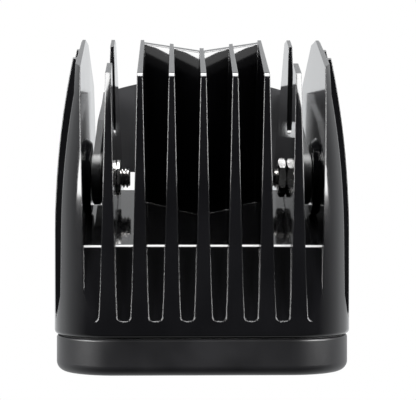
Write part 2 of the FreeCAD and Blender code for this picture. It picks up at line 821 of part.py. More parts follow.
def make_reflector():
    """Block with four cups, and pockets in its back over the board's screws."""
    depth_formula = "dims.reflector_back - dims.reflector_front"
    block = plate("reflector_block", "dims.reflector_half", "dims.reflector_half - dims.lens_corner_centre",
                  depth_formula, "dims.reflector_front")
    tools = []
    for number, (sx, sy) in enumerate(corners(1), start=1):
        tools.append(cone(f"cup_{number}", "dims.cup_front_radius", "dims.cup_back_radius", depth_formula,
                          at(f"{sx} * dims.emitter_offset", f"{sy} * dims.emitter_offset",
                             "dims.reflector_front")))
    for number, (x, y) in enumerate(cross(1), start=1):
        tools.append(cylinder(f"screw_relief_{number}", "dims.screw_relief_radius", "dims.screw_relief_depth",
                              at(f"{x} * dims.board_screw_offset", f"{y} * dims.board_screw_offset",
                                 "dims.reflector_back - dims.screw_relief_depth")))
    return cut("reflector_cut", block, fuse("reflector_tools", tools))


def make_board_screws():
    screws = []
    for number, (x, y) in enumerate(cross(1), start=1):
        name = f"board_screw_{number}"
        px, py = f"{x} * dims.board_screw_offset", f"{y} * dims.board_screw_offset"
        head = cylinder(name + "_head", "dims.board_screw_head_radius", "dims.board_screw_head_height",
                        at(px, py, f"{BOARD_FRONT} - dims.board_screw_head_height"))
        shank = cylinder(name + "_shank", "dims.board_screw_radius", f"dims.board_screw_end - {BOARD_FRONT}",
                         at(px, py, BOARD_FRONT))
        screws.append(fuse(name, [head, shank]))
    return group("board_screws", screws)


# ---- driver -----------------------------------------------------------------------------------------

DRIVER_FRONT = "(dims.pocket_ledge - dims.driver_board_thickness)"


def make_driver_board():
    body = doc.addObject("PartDesign::Body", "driver_board")
    sketch = new_sketch(body, "driver_board_outline", offset=DRIVER_FRONT)
    draw_circle(sketch, "dims.driver_board_radius")
    pad(body, "driver_board_pad", sketch, "dims.driver_board_thickness")
    return body


def make_inductor():
    """Drum core: two flanges and a winding between them."""
    x, y, flange = "dims.inductor_x", "dims.inductor_y", "dims.inductor_flange"
    low = cylinder("inductor_low_flange", "dims.inductor_radius", flange, at(x, y, "dims.pocket_ledge"))
    high = cylinder("inductor_high_flange", "dims.inductor_radius", flange,
                    at(x, y, "dims.pocket_ledge + dims.inductor_height - dims.inductor_flange"))
    winding = cylinder("inductor_winding", "dims.inductor_radius - dims.inductor_flange",
                       "dims.inductor_height", at(x, y, "dims.pocket_ledge"))
    return fuse("inductor", [low, winding, high])


def make_capacitors():
    cans = []
    for number, side in enumerate((-1, 1), start=1):
        cans.append(cylinder(f"capacitor_{number}", "dims.capacitor_radius", "dims.capacitor_height",
                             at("dims.capacitor_x", f"dims.capacitor_y + {side} * dims.capacitor_gap",
                                "dims.pocket_ledge")))
    return group("capacitors", cans)


def make_mosfets():
    packages = []
    for number, side in enumerate((-1, 1), start=1):
        packages.append(box(f"mosfet_{number}", "dims.mosfet_length", "dims.mosfet_width", "dims.mosfet_height",
                            at(f"{side} * dims.mosfet_x - dims.mosfet_length / 2", "dims.mosfet_y",
                               f"{DRIVER_FRONT} - dims.mosfet_height")))
    return group("mosfets", packages)


def make_pins():
    """Two pins that carry current from the driver board to the LED board."""
    pins = []
    for number, side in enumerate((-1, 1), start=1):
        pins.append(cylinder(f"pin_{number}", "dims.pin_radius",
                             f"{DRIVER_FRONT} - dims.cavity_floor + dims.pad_thickness",
                             at(f"{side} * dims.pin_x", "dims.pin_y", "dims.cavity_floor - dims.pad_thickness")))
    return group("pins", pins)


# ---- tilt pivot ---------------------------------------------------------------------------------------

PIVOT_Y = "(dims.pivot_depth - dims.half_width)"


def along_pivot(x):
    return at(x, PIVOT_Y, "dims.pivot_height")


def make_pivot_bolt(side, sign):
    """Button head outside, shank through fin, bracket leg and second fin."""
    name = "pivot_bolt_" + side
    low = "-dims.outer_fin_face" if sign < 0 else "dims.pivot_thread_end"
    shank = cylinder(name + "_shank", "dims.pivot_radius", "dims.outer_fin_face - dims.pivot_thread_end",
                     along_pivot(low), ALONG_X)
    rim_x = "-dims.outer_fin_face - dims.bolt_rim" if sign < 0 else "dims.outer_fin_face"
    rim = cylinder(name + "_rim", "dims.bolt_head_radius", "dims.bolt_rim", along_pivot(rim_x), ALONG_X)
    dome_x = ("-dims.outer_fin_face - dims.bolt_head_height" if sign < 0
              else "dims.outer_fin_face + dims.bolt_rim")
    radii = ["dims.bolt_crown_radius", "dims.bolt_head_radius"]
    radii = radii if sign < 0 else radii[::-1]
    dome = primitive("Part::Cone", name + "_dome",
                     {"Radius1": radii[0], "Radius2": radii[1],
                      "Height": "dims.bolt_head_height - dims.bolt_rim", **along_pivot(dome_x)}, ALONG_X)
    socket_x = ("-dims.outer_fin_face - dims.bolt_head_height" if sign < 0
                else "dims.outer_fin_face + dims.bolt_head_height - dims.bolt_socket_depth")
    socket = hex_socket(name + "_socket", "dims.bolt_socket_flats", "dims.bolt_socket_depth",
                        along_pivot(socket_x), ALONG_X)
    return cut(name + "_cut", fuse(name + "_blank", [shank, rim, dome]), socket)


def make_pivot_nut():
    """Thin hexagon nut on the right bolt, with one flat towards the lamp's top side."""
    width = "dims.fin_inner_face - dims.nut_face"
    blank = hex_socket("nut_blank", "dims.nut_flats", width, along_pivot("dims.nut_face"), ALONG_X)
    bore = cylinder("nut_bore", "dims.bush_bore", width, along_pivot("dims.nut_face"), ALONG_X)
    return cut("nut", blank, bore)


def make_thread_insert():
    """Flanged insert pressed into the second fin on the left, which takes the left bolt."""
    flange = cylinder("insert_flange", "dims.insert_flange_radius",
                      "dims.fin_inner_face - dims.insert_flange_face",
                      along_pivot("-dims.fin_inner_face"), ALONG_X)
    sleeve_end = "(dims.leg_centre - dims.boss_face_offset)"
    sleeve = cylinder("insert_sleeve", "dims.insert_radius", f"{sleeve_end} - dims.insert_flange_face",
                      along_pivot(f"-{sleeve_end}"), ALONG_X)
    bore = cylinder("insert_bore", "dims.bush_bore", "dims.leg_centre - dims.insert_flange_face",
                    along_pivot("-dims.leg_centre"), ALONG_X)
    return cut("insert", fuse("insert_blank", [sleeve, flange]), bore)


# ---- yoke bracket -------------------------------------------------------------------------------------

def draw_polygon(sketch, points):
    """Closed outline; each corner is held at its two formulas."""
    count = len(points)
    corners_now = [Vector(*[float(sheet.evalExpression(f)) for f in point], 0) for point in points]
    for index in range(count):
        sketch.addGeometry(Part.LineSegment(corners_now[index], corners_now[(index + 1) % count]), False)
    for index in range(count):
        sketch.addConstraint(Sketcher.Constraint("Coincident", index, 2, (index + 1) % count, 1))
    for index, (point, now) in enumerate(zip(points, corners_now)):
        for kind, value, formula in (("DistanceX", now.x, point[0]), ("DistanceY", now.y, point[1])):
            rule = sketch.addConstraint(Sketcher.Constraint(kind, -1, 1, index, 1, value))
            sketch.setExpression(f"Constraints[{rule}]", formula)


def from_top(formula):
    """Y of a depth counted from the lamp's top side, as a formula."""
    return f"{formula} - dims.half_width"


def make_bracket_section():
    """The bent sheet seen along Z: two legs and the strap, with rounded bends."""
    body = doc.addObject("PartDesign::Body", "bracket_section")
    sketch = new_sketch(body, "bracket_bend_line", offset="dims.can_shoulder_height")
    half = "dims.bracket_thickness / 2"
    outer, inner = f"dims.leg_centre + {half}", f"dims.leg_centre - {half}"
    start = from_top("dims.pivot_depth - 2 * dims.leg_eye_radius")
    inside = from_top("dims.strap_near_depth")
    outside = f"{inside} + dims.bracket_thickness"
    draw_polygon(sketch, [(f"-({outer})", start), (f"-({outer})", outside), (outer, outside), (outer, start),
                          (inner, start), (inner, inside), (f"-({inner})", inside), (f"-({inner})", start)])
    pad(body, "bracket_section_pad", sketch, "dims.groove_top_height - dims.can_shoulder_height")
    doc.recompute()
    outside_y = depth("strap_near_depth") + size("bracket_thickness")
    for name, y, radius in (("outer_bends", outside_y, "dims.bracket_bend_radius"),
                            ("inner_bends", depth("strap_near_depth"),
                             "dims.bracket_bend_radius - dims.bracket_thickness")):
        bends = [f"Edge{n}" for n, edge in enumerate(body.Tip.Shape.Edges, start=1)
                 if edge.BoundBox.ZLength > 1 and abs(edge.CenterOfMass.y - y) < 1e-3]
        round_edges(body, name, bends, radius)
    return body


def make_bracket_side():
    """Side view of a leg: an eye round the pivot that widens into the strap."""
    sketch = doc.addObject("Sketcher::SketchObject", "leg_outline")
    sketch.Placement = Placement(Vector(), Rotation(Vector(1, 1, 1), 120))
    far = from_top("dims.strap_near_depth + 2 * dims.bracket_thickness")
    draw_polygon(sketch, [
        (from_top("dims.pivot_depth - 2.8"), "dims.pivot_height + 7.5"),
        (from_top("dims.leg_mid_depth"), "dims.leg_mid_height"),
        (from_top("dims.leg_shoulder_depth"), "dims.leg_shoulder_height"),
        (from_top("dims.strap_near_depth - 3"), "dims.leg_shoulder_height + 4"),
        (from_top("dims.strap_near_depth - 0.5"), "dims.strap_crest_height + 1"),
        (far, "dims.strap_crest_height + 1"),
        (far, "dims.strap_front_height"),
        (from_top("dims.pivot_depth + 1.6"), "dims.leg_neck_height"),
    ])
    side = doc.addObject("Part::Extrusion", "leg_side")
    side.Base = sketch
    side.DirMode = "Normal"
    side.Solid = True
    side.Symmetric = True
    bind(side, {"LengthFwd": "2 * dims.half_width"})
    eye = cylinder("leg_eye", "dims.leg_eye_radius", "2 * dims.half_width", along_pivot("-dims.half_width"),
                   ALONG_X)
    return fuse("bracket_side", [side, eye])


def make_bracket():
    """Sheet steel yoke with two legs, and a strap with a centre hole and two smaller ones."""
    crest = cylinder("strap_crest", "dims.strap_crest_radius", "4 * dims.half_width",
                     at("0", "-2 * dims.half_width", "dims.strap_crest_height - dims.strap_crest_radius"),
                     ALONG_Y)
    section, side = make_bracket_section(), make_bracket_side()
    common = doc.addObject("Part::MultiCommon", "bracket_blank")
    common.Shapes = [section, side, crest]
    start = from_top("dims.strap_near_depth - dims.bracket_thickness")
    holes = [cylinder("eye_holes", "dims.bush_hole", "2 * dims.half_width", along_pivot("-dims.half_width"),
                      ALONG_X)]
    for name, radius, x in (("mount_hole", "dims.mount_hole_radius", "0"),
                            ("side_hole_left", "dims.side_hole_radius", "-dims.side_hole_spacing / 2"),
                            ("side_hole_right", "dims.side_hole_radius", "dims.side_hole_spacing / 2")):
        holes.append(cylinder(name, radius, "4 * dims.bracket_thickness",
                              at(x, start, "dims.mount_hole_height"), ALONG_Y))
    return cut("yoke", common, fuse("bracket_holes", holes))


def ring(name, outer, inner, width, x):
    """A flat ring round the pivot axis."""
    return cut(name, cylinder(name + "_disc", outer, width, along_pivot(x), ALONG_X),
               cylinder(name + "_hole", inner, width, along_pivot(x), ALONG_X))


def make_bush(side, sign):
    low = f"{sign} * dims.leg_centre - dims.bracket_thickness / 2"
    return ring(f"bush_{side}", "dims.bush_radius", "dims.bush_bore", "dims.bracket_thickness", low)


def make_washers(side, sign):
    """A friction washer on each face of the leg."""
    near = f"{sign} * dims.leg_centre - dims.bracket_thickness / 2 - dims.washer_thickness"
    far = f"{sign} * dims.leg_centre + dims.bracket_thickness / 2"
    return group(f"washers_{side}", [ring(f"washer_{side}_{name}", "dims.washer_radius", "dims.washer_bore",
                                          "dims.washer_thickness", x)
                                     for name, x in (("near", near), ("far", far))])


# ---- cable gland and vent -------------------------------------------------------------------------------

def on_gland(height):
    return at("0", "dims.gland_y", height)


FLANGE_BASE = "(dims.gland_seat_height + 2 * dims.gland_ring_section)"
BARREL_BASE = f"({FLANGE_BASE} + dims.gland_flange_height)"


def make_gland_body():
    """Threaded stem in the housing, hexagon flange, and the barrel that the cap screws onto."""
    stem = cylinder("gland_stem", "dims.gland_thread_radius - 0.05", "dims.gland_stem_length",
                    on_gland(f"{FLANGE_BASE} - dims.gland_stem_length"))
    flange = hex_socket("gland_flange", "dims.gland_flats", "dims.gland_flange_height", on_gland(FLANGE_BASE))
    barrel = cylinder("gland_barrel", "dims.gland_barrel_radius", "dims.gland_barrel_height",
                      on_gland(BARREL_BASE))
    bore = cylinder("gland_bore_tool", "dims.gland_bore", "dims.gland_stem_length + 20",
                    on_gland(f"{FLANGE_BASE} - dims.gland_stem_length"))
    return cut("gland", fuse("gland_blank", [stem, flange, barrel]), bore)


def make_gland_cap():
    """Dome nut: hexagon skirt, round collar and a tapered nose."""
    skirt_base = f"{BARREL_BASE} + dims.cap_gap"
    skirt = hex_socket("cap_skirt", "dims.gland_flats", "dims.cap_skirt_height", on_gland(skirt_base))
    collar_base = f"{skirt_base} + dims.cap_skirt_height"
    collar = cylinder("cap_collar", "dims.cap_collar_radius", "dims.cap_collar_height", on_gland(collar_base))
    nose = cone("cap_nose", "dims.cap_collar_radius", "dims.cap_nose_radius", "dims.cap_nose_height",
                on_gland(f"{collar_base} + dims.cap_collar_height"))
    thread = cylinder("cap_thread", "dims.gland_barrel_radius + 0.05", "dims.gland_barrel_height",
                      on_gland(skirt_base))
    seat = cylinder("cap_seat", "dims.gland_bore", "dims.gland_seal_end - dims.gland_seal_start",
                    on_gland("dims.gland_seal_start + 0.1"))
    mouth = cylinder("cap_mouth", "dims.gland_mouth", "30", on_gland(skirt_base))
    return cut("cap", fuse("cap_blank", [skirt, collar, nose]), fuse("cap_tools", [thread, seat, mouth]))


def make_gland_seal():
    """Rubber bush that grips the cable."""
    length = "dims.gland_seal_end - dims.gland_seal_start"
    outside = cylinder("seal_outside", "dims.gland_bore - 0.1", length, on_gland("dims.gland_seal_start"))
    hole = cylinder("seal_hole", "dims.cable_hole", length, on_gland("dims.gland_seal_start"))
    return cut("seal", outside, hole)


def make_gland_ring():
    ring_thing = primitive("Part::Torus", "gland_ring",
                           {"Radius1": "dims.gland_ring_radius", "Radius2": "dims.gland_ring_section",
                            **on_gland("dims.gland_seat_height + dims.gland_ring_section")})
    return group("gland_ring_node", [ring_thing])


def make_vent():
    """Small breather plug: stem in the housing and a chamfered cap."""
    place = ("dims.vent_x", "dims.vent_y")
    stem = cylinder("vent_stem", "dims.vent_stem_radius - 0.05", "dims.vent_stem_length",
                    at(*place, "dims.vent_seat_height - dims.vent_stem_length"))
    cap = cylinder("vent_cap", "dims.vent_radius", "dims.vent_height", at(*place, "dims.vent_seat_height"))
    crown = cone("vent_crown", "dims.vent_radius", "dims.vent_radius - dims.vent_crown", "dims.vent_crown",
                 at(*place, "dims.vent_seat_height + dims.vent_height"))
    return fuse("vent", [stem, cap, crown])


# ---- the whole lamp ---------------------------------------------------------------------------------------

def make_housing():
    thing = doc.addObject("Part::Feature", "housing_casting")
    thing.Shape = housing_shape()
    return thing


keep(make_housing(), "housing")
keep(make_bezel(), "front_bezel")
keep(make_lens(), "front_lens")
keep(make_gasket(), "lens_gasket")
keep(make_housing_seal(), "housing_seal")
keep(make_bezel_screws(), "bezel_screws")
keep(make_reflector(), "reflector")
keep(make_led_board(), "led_board")
keep(make_emitters(), "led_emitters")
keep(make_thermal_pad(), "thermal_pad")
keep(make_board_screws(), "board_screws")
keep(make_driver_board(), "driver_board")
keep(make_inductor(), "driver_inductor")
keep(make_capacitors(), "driver_capacitors")
keep(make_mosfets(), "driver_mosfets")
keep(make_pins(), "driver_pins")
keep(make_pivot_nut(), "pivot_nut_right")
keep(make_thread_insert(), "thread_insert_left")
keep(make_bracket(), "yoke_bracket")
for side, sign in (("left", -1), ("right", 1)):
    keep(make_pivot_bolt(side, sign), f"pivot_bolt_{side}")
    keep(make_bush(side, sign), f"bracket_bush_{side}")
    keep(make_washers(side, sign), f"friction_washers_{side}")
keep(make_gland_body(), "cable_gland_body")
keep(make_gland_cap(), "gland_cap")
keep(make_gland_seal(), "gland_seal")
keep(make_gland_ring(), "gland_o_ring")
keep(make_vent(), "pressure_vent")
doc.recompute()

failed = [thing.Name for thing in doc.Objects if "Invalid" in thing.State or "Error" in thing.State]
failed += [node.Label for node in nodes if node.Shape.isNull() or not node.Shape.isValid()]
if failed:
    raise SystemExit(f"these objects failed: {failed}")

os.makedirs("parts", exist_ok=True)
for node in nodes:
    node.Shape.exportStep(f"parts/{node.Label}.step")
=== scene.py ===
import json
from math import cos, pi, radians, sin, sqrt, tan
import bpy
import bmesh
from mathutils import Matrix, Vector


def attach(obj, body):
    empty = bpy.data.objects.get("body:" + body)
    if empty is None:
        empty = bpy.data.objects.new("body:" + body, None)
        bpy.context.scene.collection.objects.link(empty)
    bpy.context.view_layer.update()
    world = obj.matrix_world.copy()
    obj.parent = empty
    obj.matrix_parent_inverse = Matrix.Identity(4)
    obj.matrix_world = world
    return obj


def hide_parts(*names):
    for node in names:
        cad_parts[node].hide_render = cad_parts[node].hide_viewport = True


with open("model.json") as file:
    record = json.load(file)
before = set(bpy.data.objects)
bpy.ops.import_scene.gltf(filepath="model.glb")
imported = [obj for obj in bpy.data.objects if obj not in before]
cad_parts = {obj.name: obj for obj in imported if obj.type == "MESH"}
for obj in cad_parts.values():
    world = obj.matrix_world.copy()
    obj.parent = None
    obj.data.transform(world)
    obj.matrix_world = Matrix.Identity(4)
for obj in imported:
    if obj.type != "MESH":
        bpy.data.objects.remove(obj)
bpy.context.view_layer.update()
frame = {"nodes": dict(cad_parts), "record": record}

# LED work lamp: finishes for the CAD nodes, finer meshes in place of the bolts, nut, insert, gland cap,
# vent, reflector and LEDs, then a plain white studio and its camera. PIVOT, GLAND, VENT and the studio
# are in metres; the other sizes are in mm.
MM = 0.001
PIVOT = Vector((0.0, -0.0154, 0.0554))
GLAND = Vector((0.0, 0.007, 0.0))
VENT = Vector((-0.0124, 0.0035, 0.0))
LAMP_AXIS_Y = -3.0
LED_OFFSET = 16.3
LED_SEAT = 16.5
QUARTERS = ((1, 1), (-1, 1), (-1, -1), (1, -1))


# ---- materials ---------------------------------------------------------------------------------

def new_material(name):
    material = bpy.data.materials.new(name)
    material.use_nodes = True
    nodes = material.node_tree.nodes
    return material, nodes, material.node_tree.links, nodes["Principled BSDF"]


def noise(nodes, links, size_mm, detail):
    """Noise whose features are about size_mm wide, in the object's own space."""
    coords = nodes.new("ShaderNodeTexCoord")
    texture = nodes.new("ShaderNodeTexNoise")
    texture.inputs["Scale"].default_value = 1.0 / (size_mm * MM)
    texture.inputs["Detail"].default_value = detail
    links.new(coords.outputs["Object"], texture.inputs["Vector"])
    return texture.outputs["Fac"]


def ramp(nodes, links, fac, low, high, start=0.3, end=0.7):
    """Map a factor to a range of numbers."""
    node = nodes.new("ShaderNodeMapRange")
    node.inputs["From Min"].default_value = start
    node.inputs["From Max"].default_value = end
    node.inputs["To Min"].default_value = low
    node.inputs["To Max"].default_value = high
    links.new(fac, node.inputs["Value"])
    return node.outputs["Result"]


def colours(nodes, links, fac, low, high):
    """Blend between two colours by a factor."""
    node = nodes.new("ShaderNodeMix")
    node.data_type = "RGBA"
    node.inputs["A"].default_value = (*low, 1.0)
    node.inputs["B"].default_value = (*high, 1.0)
    links.new(fac, node.inputs["Factor"])
    return node.outputs["Result"]


def bumps(nodes, links, shader, layers, base=None):
    """Stack of bump layers, each (height output, depth in mm, strength), on an optional base normal."""
    previous = base
    for height, depth, strength in layers:
        bump = nodes.new("ShaderNodeBump")
        bump.inputs["Strength"].default_value = strength
        bump.inputs["Distance"].default_value = depth * MM
        links.new(height, bump.inputs["Height"])
        if previous:
            links.new(previous, bump.inputs["Normal"])
        previous = bump.outputs["Normal"]
    links.new(previous, shader.inputs["Normal"])


def surface(name, dark, light, rough, patch=14.0, grain=0.5, depth=0.02, strength=0.2, metallic=0.0,
            coat=0.0):
    """A finish with slow colour and gloss changes, and a fine grain."""
    material, nodes, links, shader = new_material(name)
    slow = noise(nodes, links, patch, 4.0)
    fine = noise(nodes, links, grain, 2.0)
    links.new(colours(nodes, links, ramp(nodes, links, slow, 0.0, 1.0), dark, light),
              shader.inputs["Base Color"])
    links.new(ramp(nodes, links, slow, *rough), shader.inputs["Roughness"])
    bumps(nodes, links, shader, [(fine, depth, strength)])
    shader.inputs["Metallic"].default_value = metallic
    shader.inputs["IOR"].default_value = 1.5
    shader.inputs["Coat Weight"].default_value = coat
    shader.inputs["Coat Roughness"].default_value = 0.05
    return material


def gloss_paint():
    """Deep gloss over a cast surface: faint orange peel, slow casting waves and a little dust on ledges.

    The bevel node rounds the casting's sharp edges in the shading alone.
    """
    material, nodes, links, shader = new_material("gloss_paint")
    slow = noise(nodes, links, 22.0, 4.0)
    peel = noise(nodes, links, 1.6, 1.0)
    waves = noise(nodes, links, 9.0, 1.0)
    specks = noise(nodes, links, 0.35, 2.0)
    geometry = nodes.new("ShaderNodeNewGeometry")
    split = nodes.new("ShaderNodeSeparateXYZ")
    links.new(geometry.outputs["Normal"], split.inputs["Vector"])
    upward = ramp(nodes, links, split.outputs["Z"], 0.0, 1.0, 0.75, 1.0)
    patchy = ramp(nodes, links, specks, 0.0, 1.0, 0.52, 0.75)
    dust = nodes.new("ShaderNodeMath")
    dust.operation = "MULTIPLY"
    links.new(upward, dust.inputs[0])
    links.new(patchy, dust.inputs[1])
    clean = colours(nodes, links, ramp(nodes, links, slow, 0.0, 1.0), (0.0016, 0.0016, 0.002),
                    (0.0034, 0.0034, 0.004))
    mix = nodes.new("ShaderNodeMix")
    mix.data_type = "RGBA"
    mix.inputs["B"].default_value = (0.05, 0.05, 0.05, 1.0)
    links.new(clean, mix.inputs["A"])
    links.new(dust.outputs["Value"], mix.inputs["Factor"])
    links.new(mix.outputs["Result"], shader.inputs["Base Color"])
    links.new(ramp(nodes, links, slow, 0.07, 0.13), shader.inputs["Roughness"])
    edges = nodes.new("ShaderNodeBevel")
    edges.samples = 12
    edges.inputs["Radius"].default_value = 0.5 * MM
    bumps(nodes, links, shader, [(waves, 0.04, 0.2), (peel, 0.01, 0.25)], edges.outputs["Normal"])
    shader.inputs["Coat Weight"].default_value = 0.35
    shader.inputs["Coat Roughness"].default_value = 0.04
    return material


def clear(name, tint, rough):
    """See-through finish with a faint haze in its gloss."""
    material, nodes, links, shader = new_material(name)
    haze = noise(nodes, links, 12.0, 3.0)
    links.new(ramp(nodes, links, haze, *rough), shader.inputs["Roughness"])
    shader.inputs["Base Color"].default_value = (*tint, 1.0)
    shader.inputs["Transmission Weight"].default_value = 1.0
    shader.inputs["IOR"].default_value = 1.49
    return material


FINISHES = {
    "gloss_paint": gloss_paint(),
    "satin_paint": surface("satin_paint", (0.004, 0.004, 0.0045), (0.007, 0.007, 0.008), (0.3, 0.4),
                           grain=0.35, depth=0.012, strength=0.35),
    "bracket_coat": surface("bracket_coat", (0.011, 0.011, 0.012), (0.019, 0.019, 0.021), (0.34, 0.46),
                            grain=0.28, depth=0.02, strength=0.4),
    "lens_glass": clear("lens_glass", (0.97, 0.985, 0.98), (0.01, 0.04)),
    "seal_rubber": surface("seal_rubber", (0.012, 0.012, 0.012), (0.022, 0.022, 0.022), (0.6, 0.75),
                           grain=0.2, depth=0.02, strength=0.4),
    "steel_screw": surface("steel_screw", (0.5, 0.5, 0.51), (0.62, 0.62, 0.63), (0.2, 0.34), patch=3.0,
                           grain=0.15, depth=0.008, strength=0.3, metallic=1.0),
    "steel_zinc": surface("steel_zinc", (0.52, 0.51, 0.5), (0.68, 0.67, 0.66), (0.16, 0.32), patch=2.5,
                          grain=0.12, depth=0.008, strength=0.35, metallic=1.0),
    "reflector_chrome": surface("reflector_chrome", (0.82, 0.83, 0.85), (0.9, 0.9, 0.92), (0.03, 0.08),
                                patch=10.0, grain=1.2, depth=0.006, strength=0.2, metallic=1.0),
    "board_white": surface("board_white", (0.72, 0.73, 0.71), (0.82, 0.83, 0.81), (0.3, 0.4), grain=0.4,
                           depth=0.01, strength=0.3, coat=0.3),
    "led_phosphor": surface("led_phosphor", (0.8, 0.62, 0.1), (0.88, 0.72, 0.16), (0.45, 0.6), patch=1.0,
                            grain=0.1, depth=0.01, strength=0.3),
    "pad_grey": surface("pad_grey", (0.28, 0.3, 0.33), (0.36, 0.38, 0.41), (0.7, 0.8), grain=0.3),
    "board_green": surface("board_green", (0.012, 0.1, 0.04), (0.02, 0.14, 0.06), (0.25, 0.38), grain=0.4,
                           depth=0.01, coat=0.3),
    "ferrite": surface("ferrite", (0.03, 0.03, 0.032), (0.05, 0.05, 0.052), (0.55, 0.7), grain=0.2),
    "can_aluminium": surface("can_aluminium", (0.6, 0.61, 0.63), (0.72, 0.73, 0.75), (0.25, 0.4), patch=3.0,
                             grain=0.2, metallic=1.0),
    "chip_black": surface("chip_black", (0.014, 0.014, 0.015), (0.024, 0.024, 0.025), (0.5, 0.65),
                          grain=0.15),
    "brass_pin": surface("brass_pin", (0.6, 0.42, 0.15), (0.72, 0.52, 0.2), (0.2, 0.35), patch=2.0,
                         grain=0.2, metallic=1.0),
    "bush_nylon": surface("bush_nylon", (0.018, 0.018, 0.018), (0.03, 0.03, 0.03), (0.4, 0.55), grain=0.3),
    "washer_black": surface("washer_black", (0.01, 0.01, 0.01), (0.02, 0.02, 0.02), (0.4, 0.55), grain=0.25),
    "gland_nylon": surface("gland_nylon", (0.014, 0.014, 0.015), (0.024, 0.024, 0.026), (0.36, 0.5),
                           grain=0.22, depth=0.02, strength=0.45),
    "vent_plastic": surface("vent_plastic", (0.02, 0.02, 0.021), (0.034, 0.034, 0.036), (0.42, 0.55),
                            grain=0.22, depth=0.02, strength=0.45),
}

for entry in frame["record"]["subparts"]:
    node = frame["nodes"][entry["node"]]
    node.data.materials.clear()
    node.data.materials.append(FINISHES[entry["material_slot"]])


# ---- turned pieces -------------------------------------------------------------------------------

def circle(along, radius):
    return lambda angle: (along, radius)


def hexagon_radius(angle, flats):
    """Distance from the axis to a hexagon's outline, with a corner at angle 0."""
    sector = pi / 3
    return flats / 2 / cos(angle % sector - sector / 2)


def hexagon(along, flats):
    return lambda angle: (along, hexagon_radius(angle, flats))


def hex_chamfer(along, flats, start, direction):
    """Where a cone of 30 degrees cuts a hexagon's sides; direction tells which way the chamfer falls."""
    def ring(angle):
        radius = hexagon_radius(angle, flats)
        return along + direction * max(radius - start, 0.0) * tan(radians(30)), radius
    return ring


def thread(along, crest, depth, pitch, low, high):
    """A ring of a helical thread, held between a lower and a higher chamfer radius."""
    def ring(angle):
        phase = (along / pitch - angle / (2 * pi)) % 1.0
        height = min(1.0, max(0.0, 1.15 - 2.6 * abs(phase - 0.5)))
        radius = crest - depth * (1 - height)
        return along, max(min(radius, high), low)
    return ring


def turned(name, rings, origin, axis, material, segments=72, closed=(True, True), smooth=32):
    """Mesh made of rings round an axis. Each ring gives its place along the axis and its radius, in mm."""
    first = Vector((0, 0, 1)) if abs(axis[2]) < 0.5 else Vector((1, 0, 0))
    second = Vector(axis).cross(first)
    shape = bmesh.new()
    loops = []
    for ring in rings:
        loop = []
        for step in range(segments):
            angle = 2 * pi * step / segments
            along, radius = ring(angle)
            place = Vector(axis) * along + (first * cos(angle) + second * sin(angle)) * radius
            loop.append(shape.verts.new(Vector(origin) + place * MM))
        loops.append(loop)
    for low, high in zip(loops, loops[1:]):
        for step in range(segments):
            following = (step + 1) % segments
            shape.faces.new((low[step], low[following], high[following], high[step]))
    for loop, cap in zip((loops[0], loops[-1]), closed):
        if cap:
            shape.faces.new(loop)
    bmesh.ops.recalc_face_normals(shape, faces=shape.faces)
    return finished(shape, name, material, smooth)


def finished(shape, name, material, smooth=32):
    """Turn a bmesh into a linked object, shaded smooth up to an angle given in degrees."""
    mesh = bpy.data.meshes.new(name)
    shape.to_mesh(mesh)
    shape.free()
    mesh.polygons.foreach_set("use_smooth", [True] * len(mesh.polygons))
    mesh.set_sharp_from_angle(angle=radians(smooth))
    mesh.materials.append(FINISHES[material])
    piece = bpy.data.objects.new(name, mesh)
    bpy.context.scene.collection.objects.link(piece)
    return piece


def arc(centre, radius, start, end, steps=8):
    """Points (along, radius) on an arc; angle 0 points outwards and 90 along the axis."""
    points = []
    for step in range(steps + 1):
        angle = radians(start + (end - start) * step / steps)
        points.append((centre[0] + radius * sin(angle), centre[1] + radius * cos(angle)))
    return points


def pivot_bolt(name, node, sign):
    """Button head with a hexagon socket, plain shank and a threaded end with a chamfer."""
    tip, head, crown = 21.1, 36.6, 39.9
    pitch, turns, rings_per_turn = 1.0, 13, 12
    rings = []
    for step in range(turns * rings_per_turn):
        along = tip + step * pitch / rings_per_turn
        rings.append(thread(along, 2.98, 0.62, pitch, 0.0, 2.25 + 1.1 * (along - tip)))
    rings += [circle(34.2, 2.9), circle(head, 2.9), circle(head, 5.2)]
    rings += [circle(*point) for point in arc((head + 0.2, 5.2), 0.2, -90, 0, 3)]
    rings += [circle(*point) for point in arc((head + 0.95, 5.05), 0.35, 0, 40, 4)]
    rings += [circle(*point) for point in arc((crown - 7.06, 0.0), 7.0, 50, 66, 8)]
    rings += [circle(crown - 0.02, 2.62), hexagon(crown - 0.22, 4.1), hexagon(crown - 2.0, 4.0),
              hexagon(crown - 2.0, 3.4), circle(crown - 2.7, 0.1)]
    piece = turned(name, rings, (0, PIVOT.y, PIVOT.z), (sign, 0, 0), "steel_zinc")
    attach(piece, "lamp")
    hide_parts(node)


def nut():
    """Thin chamfered hexagon nut with a plain bore; one flat faces the lamp's top side."""
    low, high, flats, start = 22.6, 25.0, 10.0, 4.85
    bore, countersink, steps = 3.12, 0.45, 28
    rings = []
    for step in range(steps + 1):
        along = high - (high - low) * step / steps
        entry = max(0.0, countersink - min(along - low, high - along))
        rings.append(circle(along, bore + entry))
    rings += [circle(low, start - 0.05), circle(low + 0.02, start)]
    rings.append(hex_chamfer(low + 0.02, flats, start, 1.0))
    rings.append(hex_chamfer(high - 0.02, flats, start, -1.0))
    rings += [circle(high - 0.02, start), circle(high, start - 0.05), circle(high, bore + countersink)]
    piece = turned("nut_hexagon", rings, (0, PIVOT.y, PIVOT.z), (1, 0, 0), "steel_zinc", segments=96,
                   closed=(False, False), smooth=20)
    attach(piece, "lamp")
    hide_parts("pivot_nut_right")


